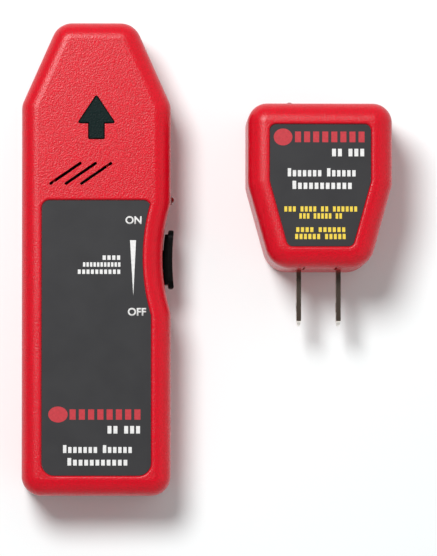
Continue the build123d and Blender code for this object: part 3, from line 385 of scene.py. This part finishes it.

# %% [markdown]
# ## Plug blades
# The blades are nickel-plated brass, blanked from strip and drawn, so they carry faint scratches down their
# length. Seen from above they mirror the dark ceiling. Their tips are coined to a lead-in whose chamfer
# catches
# the light, and that light is painted in: the last millimetre and a half is a painted highlight, bright and
# matte.

# %% Blade plating with a painted tip highlight
tip_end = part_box("blade_left")[0].y
tip_highlight_from, tip_highlight_to = tip_end + 1.3 * MM, tip_end + 1.7 * MM
blade = Finish("blade_metal", (0.54, 0.42, 0.34), 0.2, 1.0)
# The last millimetre and a half is painted bright and made matte, a painted highlight for the light on the
# tip's chamfer.
blade.blend(blade.along("Y"), (0.92, 0.89, 0.84), (0.54, 0.42, 0.34), tip_highlight_from, tip_highlight_to)
blade.rough(blade.along("Y"), 0.50, 0.18, tip_highlight_from, tip_highlight_to)
drawn = blade.noise(0.25 * MM, place=blade.stretched((1, 0.06, 1)))
blade.bump(drawn, 0.006 * MM)
wear("blade_metal", "blade_left", "blade_right")
# Prints where the painted tip highlight ends along y.
print("rubbed tip up to y", round(tip_highlight_to, 4))

# %% [markdown]
# ## Other metals
# The screws are zinc-plated steel with a warm and a cold cast side by side, the tin on leads and switch
# shells is bright and slightly orange-peeled, and the pickup's winding is enamelled copper whose turns show
# as fine ribs along the coil.

# %% Zinc, tin and copper
zinc = Finish("screw_steel", (0.60, 0.60, 0.58), 0.32, 1.0)
zinc.blend(zinc.noise(1.5 * MM), (0.52, 0.53, 0.50), (0.66, 0.65, 0.60))
zinc.rough(zinc.noise(0.3 * MM), 0.26, 0.40)
wear(
    "screw_steel",
    "receiver_board_screws",
    "receiver_case_screws",
    "transmitter_board_screws",
    "transmitter_case_screws",
)

tin = Finish("tin_plate", (0.72, 0.72, 0.70), 0.28, 1.0)
tin.rough(tin.noise(0.6 * MM, 3), 0.22, 0.38)
wear("tin_plate", "led_leads", "slide_switch_body")

copper = Finish("copper_wire", (0.72, 0.30, 0.14), 0.3, 1.0)
turns = copper.noise(0.3 * MM, 1, copper.stretched((0.05, 1, 0.05)))
copper.blend(turns, (0.52, 0.18, 0.07), (0.80, 0.36, 0.18))
copper.bump(turns, 0.03 * MM, 0.8)
wear("copper_wire", "pickup_winding", "pickup_leads")
print("zinc, tin and copper done, finishes so far", len(finishes))

# %% [markdown]
# ## The battery
# A nine-volt battery is a printed steel sleeve crimped over six small cells. The sleeve here has a plain
# generic print: a dark body with a copper-coloured band near the terminals. The band is a hard step in the
# sleeve's own length direction, as the printed edge is.

# %% Two-tone battery sleeve
sleeve = Finish("battery_steel", (0.03, 0.03, 0.035), 0.3)
can_low, can_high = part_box("battery_can")
band_share = 0.3
band_edge = can_high.y - band_share * (can_high.y - can_low.y)
print_edges = (band_edge - 0.05 * MM, band_edge + 0.05 * MM)
sleeve.blend(sleeve.along("Y"), (0.03, 0.03, 0.035), (0.55, 0.24, 0.08), *print_edges)
sleeve.shader.inputs["Coat Weight"].default_value = 0.4
sleeve.rough(sleeve.noise(2 * MM), 0.26, 0.36)
wear("battery_steel", "battery_can")
print("copper band from y", round(band_edge, 4))

# %% [markdown]
# ## Boards and small parts
# The parts behind the case are seen only when it is opened, but each still has the finish of the real thing:
# green solder mask over glass weave, ferrite, foam, wire insulation, dipped coats and moulded bodies. Each
# is one colour that drifts a little, with a roughness and a grain that suit it, so a table holds them.

# %% Table of inside finishes
# name, two colours, spots in mm, roughness of shiny and of dull spots, grain depth in mm
inside = [
    ("board_green", (0.010, 0.085, 0.032), (0.016, 0.110, 0.042), 1.2, 0.30, 0.42, 0.010),
    ("carrier_plastic", (0.62, 0.60, 0.54), (0.70, 0.68, 0.62), 4.0, 0.45, 0.58, 0.010),
    ("ferrite", (0.045, 0.042, 0.040), (0.075, 0.070, 0.066), 0.7, 0.55, 0.72, 0.030),
    ("cell_body", (0.55, 0.55, 0.54), (0.66, 0.66, 0.65), 3.0, 0.25, 0.36, 0.004),
    ("foam", (0.045, 0.045, 0.048), (0.090, 0.090, 0.095), 0.5, 0.88, 0.98, 0.150),
    ("wire_red", (0.50, 0.012, 0.012), (0.60, 0.020, 0.020), 2.0, 0.38, 0.50, 0.006),
    ("wire_black", (0.012, 0.012, 0.013), (0.022, 0.022, 0.024), 2.0, 0.38, 0.50, 0.006),
    ("resistor_coat", (0.55, 0.42, 0.24), (0.64, 0.50, 0.31), 1.0, 0.35, 0.50, 0.010),
    ("cement", (0.70, 0.69, 0.65), (0.80, 0.79, 0.75), 0.6, 0.75, 0.90, 0.060),
    ("varistor_coat", (0.020, 0.090, 0.300), (0.030, 0.120, 0.360), 1.5, 0.28, 0.40, 0.020),
    ("film_case", (0.45, 0.34, 0.06), (0.52, 0.40, 0.09), 3.0, 0.35, 0.48, 0.006),
    ("fuse_glass", (0.55, 0.58, 0.58), (0.62, 0.66, 0.66), 2.0, 0.06, 0.14, 0.002),
    ("capacitor_sleeve", (0.020, 0.024, 0.060), (0.030, 0.036, 0.085), 2.5, 0.24, 0.36, 0.005),
]
for name, first, second, spot_size, shine, dull, depth in inside:
    made = Finish(name, first, dull)
    spots = made.noise(spot_size * MM, 3)
    made.blend(spots, first, second)
    made.rough(spots, shine, dull)
    made.bump(made.noise(0.4 * spot_size * MM), depth * MM, 0.6)

wear("board_green", "receiver_board", "transmitter_board")
wear("carrier_plastic", "blade_carrier", "pickup_bobbin")
wear("ferrite", "pickup_core")
wear("cell_body", "battery_cells")
wear("foam", "battery_pad")
wear("wire_red", "battery_lead_red")
wear("wire_black", "battery_lead_black", "blade_leads")
wear("resistor_coat", "receiver_resistors")
wear("cement", "load_resistor")
wear("varistor_coat", "varistor")
wear("film_case", "film_capacitor")
wear("fuse_glass", "fuse")
wear("capacitor_sleeve", "filter_capacitors", "smoothing_capacitor")
dressed = {slot.material.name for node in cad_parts.values() for slot in node.material_slots}
print(len(dressed), "finishes on", len(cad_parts), "nodes")

# %% [markdown]
# ## Ink on the labels
# The print is screen ink on the label film: thin, flat and matte, with square edges. Marks are drawn flat in
# the case's own millimetres first. Words other than ON and OFF become rows of upright blocks, one block a
# letter, so that a line keeps its length and rhythm without being readable. A plain bar would be simpler,
# but it would make the label look heavier than lettering does.

# %% Flat marks
stroke_start, stroke_end = 0.14, 0.80  # share of a letter's pitch that its block covers
word_space = 0.8  # share of a pitch between two words
small_height = 0.76  # a small letter against a capital


def flat_face(form, corners):
    """One flat face from corners in millimetres."""
    points = [form.verts.new((x * MM, y * MM, 0)) for x, y in corners]
    face = form.faces.new(points)
    if face.normal.z < 0:
        face.normal_flip()


def block(form, left, low, right, high):
    """A plain rectangle."""
    flat_face(form, [(left, low), (right, low), (right, high), (left, high)])


def word_blocks(form, left, low, right, high, words, capital_first):
    """Small upright blocks that stand for words, one block a letter, filling a box."""
    pitch = (right - left) / (sum(words) + word_space * (len(words) - 1))
    at = left
    for letters in words:
        for letter in range(letters):
            tall = letter == 0 or not capital_first
            top = high if tall else low + small_height * (high - low)
            block(form, at + stroke_start * pitch, low, at + stroke_end * pitch, top)
            at += pitch
        at += word_space * pitch


def disc(form, left, low, right, high):
    """A round dot that fills a box."""
    across = Matrix.Diagonal(((right - left) / 2 * MM, (high - low) / 2 * MM, 1, 1))
    at = Matrix.Translation(((left + right) / 2 * MM, (low + high) / 2 * MM, 0))
    bmesh.ops.create_circle(form, cap_ends=True, segments=48, radius=1, matrix=at @ across)


print("a block is", round(stroke_end - stroke_start, 2), "of a letter's pitch wide")

# %% [markdown]
# ## Lettering
# The two words that stay are plain capitals. They could be drawn stroke by stroke, but the built-in face has
# them ready, round bowls and all. They are filled, because a screen prints a letter as one flat patch, and
# made a little bolder, as ink spreads.

# %% Plain capitals
ink_spread = 0.03


def lettering(form, words, middle_x, middle_y, height):
    """Plain sans-serif capitals, filled, set to a height and centred on a place."""
    curve = bpy.data.curves.new("letters", "FONT")
    curve.body = words
    curve.align_x = "CENTER"
    curve.align_y = "CENTER"
    curve.offset = ink_spread
    text = bpy.data.objects.new("letters", curve)
    scene.collection.objects.link(text)
    bpy.context.view_layer.update()
    mesh = bpy.data.meshes.new_from_object(text)
    bpy.data.objects.remove(text)
    low = Vector((min(v.co.x for v in mesh.vertices), min(v.co.y for v in mesh.vertices), 0))
    high = Vector((max(v.co.x for v in mesh.vertices), max(v.co.y for v in mesh.vertices), 0))
    size = height * MM / (high.y - low.y)
    place = Matrix.Translation((middle_x * MM, middle_y * MM, 0))
    place = place @ Matrix.Scale(size, 4) @ Matrix.Translation(-(low + high) / 2)
    mesh.transform(place)
    form.from_mesh(mesh)
    bpy.data.meshes.remove(mesh)


print("letters grow by", ink_spread, "of the type size at each edge")

# %% [markdown]
# ## From marks to ink
# Each mark becomes a thin slab with its own thickness, a few hundredths of a millimetre, lying just clear of
# the film. A mask in the film's own finish would show the print too, but it would have no edge to catch the
# light. Marks of one colour are joined into one mesh for each case, which is how the ink goes on: one screen
# for each colour.

# %% Raise marks off the film
ink_rise = 0.012 * MM
ink_thickness = 0.03 * MM


def printed(name, form, case_middle, surface, body, finish):
    """Raises flat marks to their thickness, sets them on a label and gives them ink."""
    bmesh.ops.remove_doubles(form, verts=form.verts, dist=0.0005 * MM)
    raised = bmesh.ops.extrude_face_region(form, geom=form.faces[:], use_keep_orig=True)
    upper = [item for item in raised["geom"] if isinstance(item, bmesh.types.BMVert)]
    bmesh.ops.translate(form, verts=upper, vec=(0, 0, ink_thickness))
    lift = Vector((case_middle.x, case_middle.y, surface + ink_rise))
    bmesh.ops.translate(form, verts=form.verts, vec=lift)
    bmesh.ops.recalc_face_normals(form, faces=form.faces)
    mesh = bpy.data.meshes.new(name)
    form.to_mesh(mesh)
    form.free()
    piece = bpy.data.objects.new(name, mesh)
    scene.collection.objects.link(piece)
    mesh.materials.append(finishes[finish])
    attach(piece, body)
    print(name, len(mesh.polygons), "faces")


print("ink stands", round((ink_rise + ink_thickness) / MM, 3), "mm off the film")

# %% [markdown]
# ## Ink colours
# Screen inks are matte and dense, and each dries a little unevenly, so each is one colour that drifts by a
# hair, with a fine change of roughness over it.

# %% White, red and yellow inks
for name, first, second in (
    ("ink_white", (0.66, 0.66, 0.65), (0.76, 0.76, 0.75)),
    ("ink_red", (0.42, 0.010, 0.020), (0.50, 0.014, 0.028)),
    ("ink_yellow", (0.72, 0.52, 0.03), (0.80, 0.60, 0.05)),
):
    ink = Finish(name, first, 0.55)
    ink.blend(ink.noise(0.8 * MM, 3), first, second)
    ink.rough(ink.noise(0.25 * MM), 0.50, 0.62)
print("inks", [name for name in finishes if name.startswith("ink")])

# %% [markdown]
# ## Receiver print
# The receiver's label names the button's two positions, with a wedge between them for the sensitivity that
# grows as the button goes up. Below that come a maker's lines, which are left out here: a dot and plain
# blocks hold their places, so that the label keeps its balance without saying anything. Each line is the
# left, low, right and high of its box in millimetres from the case's middle, then the letters in each of
# its words, then whether each word starts with a capital.

# %% White and red on the receiver
legend_height = 2.55
wedge = [(10.75, 5.88), (12.66, 5.88), (11.8, -11.76)]
wedge_lines = [
    ((1.8, -0.4, 7.9, 1.0), (4,), False),
    ((-4.4, -2.6, 7.9, -1.2), (11,), False),
    ((-6.1, -4.9, 7.9, -3.5), (10,), False),
]
maker_lines = [
    ((3.35, -55.8, 14.35, -53.4), (2, 3), False),
    ((-10.78, -62.0, 11.67, -59.5), (7, 6), True),
    ((-9.38, -66.0, 10.27, -63.6), (11,), True),
]

white = bmesh.new()
lettering(white, "ON", 11.87, 12.3, legend_height)
lettering(white, "OFF", 12.98, -17.0, legend_height)
flat_face(white, wedge)
for box, words, capital_first in wedge_lines + maker_lines:
    word_blocks(white, *box, words, capital_first)
printed("receiver_ink_white", white, receiver_middle, receiver_ink, "receiver", "ink_white")

scarlet = bmesh.new()
disc(scarlet, -15.28, -52.3, -9.09, -47.2)
word_blocks(scarlet, -8.9, -51.4, 14.7, -48.1, (8,), False)
printed("receiver_ink_red", scarlet, receiver_middle, receiver_ink, "receiver", "ink_red")

# %% [markdown]
# ## Transmitter print
# The transmitter repeats the maker's lines and adds four lines in yellow, the colour kept for ratings.
# They are plain blocks too, in the same rhythm of word lengths.

# %% White, red and yellow on the transmitter
maker_lines = [
    ((3.43, 9.2, 14.27, 11.6), (2, 3), False),
    ((-10.63, 2.8, 11.48, 5.4), (7, 6), True),
    ((-9.14, -1.2, 10.28, 1.4), (11,), True),
]
rating_lines = [
    ((-11.67, -8.4, 11.9, -6.75), (3, 4, 2, 6), False),
    ((-6.9, -10.65, 7.04, -8.95), (3, 5, 2), False),
    ((-7.93, -14.9, 8.15, -13.4), (4, 6), False),
    ((-8.25, -17.15, 8.25, -15.5), (6, 5), False),
]

white = bmesh.new()
for box, words, capital_first in maker_lines:
    word_blocks(white, *box, words, capital_first)
printed("transmitter_ink_white", white, transmitter_middle, transmitter_ink, "transmitter", "ink_white")

scarlet = bmesh.new()
disc(scarlet, -14.85, 12.64, -8.92, 18.03)
word_blocks(scarlet, -8.5, 13.68, 14.6, 17.08, (8,), False)
printed("transmitter_ink_red", scarlet, transmitter_middle, transmitter_ink, "transmitter", "ink_red")

yellow = bmesh.new()
for box, words, capital_first in rating_lines:
    word_blocks(yellow, *box, words, capital_first)
printed("transmitter_ink_yellow", yellow, transmitter_middle, transmitter_ink, "transmitter", "ink_yellow")

# %% [markdown]
# ## Sizes
# The ink stays inside the solid model's box, because the labels lie below the cases' rims.
